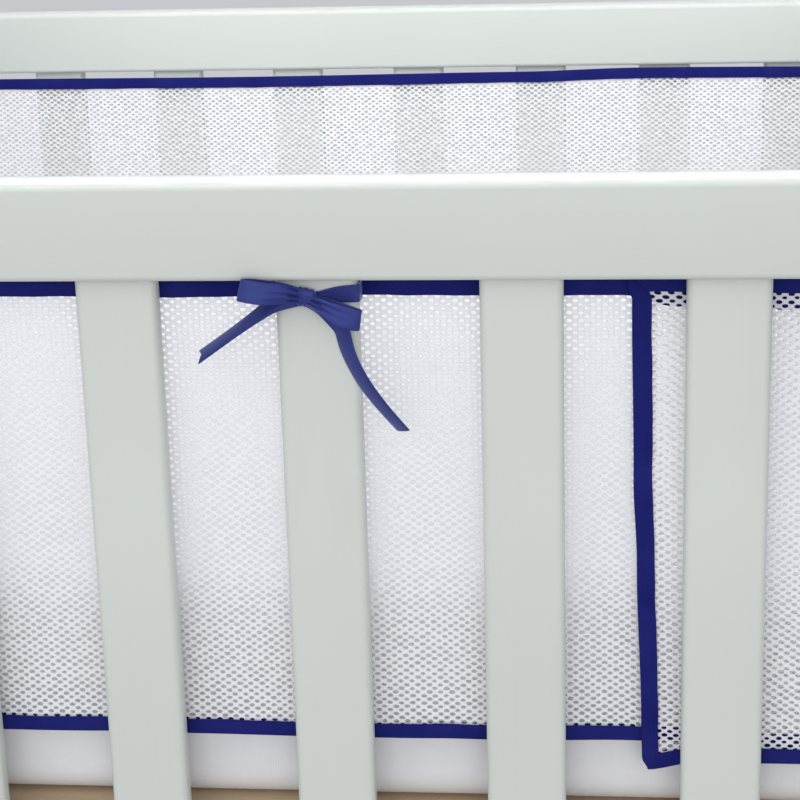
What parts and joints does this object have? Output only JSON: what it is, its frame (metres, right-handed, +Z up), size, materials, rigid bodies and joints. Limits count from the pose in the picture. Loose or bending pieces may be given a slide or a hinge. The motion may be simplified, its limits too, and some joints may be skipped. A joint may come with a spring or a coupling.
{
  "type": "crib bumper on a crib",
  "caption": "Breathable mesh crib bumper in a long wrap and a short front piece, bound in navy tape and tied with ribbon bows inside a slatted crib with its mattress.",
  "frame": {"origin": "on the floor under the middle of the crib", "axes": "+X along the crib's length, to the right seen from the front; +Y from the front side to the back; +Z up"},
  "size_m": [1.43, 0.82, 0.9],
  "materials": {
    "liner_mesh": "white knitted mesh with small oval holes",
    "binding_tape": "navy folded bias tape with a stitch line",
    "ribbon": "navy stitched ribbon with a soft sheen",
    "mattress_cotton": "plain white cotton",
    "base_board": "plain birch board",
    "painted_timber": "satin pale grey-green paint on timber"
  },
  "bodies": {
    "root": {"base_board": "base_board", "bow_back_1": "ribbon", "bow_front_1": "ribbon", "bow_front_2": "ribbon", "bow_front_3": "ribbon", "bow_front_4": "ribbon", "bow_left_1": "ribbon", "bow_right_1": "ribbon", "long_mesh_panel": "liner_mesh", "long_panel_tape": "binding_tape", "low_rail_back": "painted_timber", "low_rail_front": "painted_timber", "low_rail_left": "painted_timber", "low_rail_right": "painted_timber", "mattress": "mattress_cotton", "post_back_left": "painted_timber", "post_back_right": "painted_timber", "post_front_left": "painted_timber", "post_front_right": "painted_timber", "short_mesh_panel": "liner_mesh", "short_panel_tape": "binding_tape", "slat_back_01": "painted_timber", "slat_back_02": "painted_timber", "slat_back_03": "painted_timber", "slat_back_04": "painted_timber", "slat_back_05": "painted_timber", "slat_back_06": "painted_timber", "slat_back_07": "painted_timber", "slat_back_08": "painted_timber", "slat_back_09": "painted_timber", "slat_back_10": "painted_timber", "slat_back_11": "painted_timber", "slat_front_01": "painted_timber", "slat_front_02": "painted_timber", "slat_front_03": "painted_timber", "slat_front_04": "painted_timber", "slat_front_05": "painted_timber", "slat_front_06": "painted_timber", "slat_front_07": "painted_timber", "slat_front_08": "painted_timber", "slat_front_09": "painted_timber", "slat_front_10": "painted_timber", "slat_front_11": "painted_timber", "slat_left_01": "painted_timber", "slat_left_02": "painted_timber", "slat_left_03": "painted_timber", "slat_left_04": "painted_timber", "slat_left_05": "painted_timber", "slat_left_06": "painted_timber", "slat_right_01": "painted_timber", "slat_right_02": "painted_timber", "slat_right_03": "painted_timber", "slat_right_04": "painted_timber", "slat_right_05": "painted_timber", "slat_right_06": "painted_timber", "top_rail_back": "painted_timber", "top_rail_front": "painted_timber", "top_rail_left": "painted_timber", "top_rail_right": "painted_timber"}
  },
  "joints": []
}
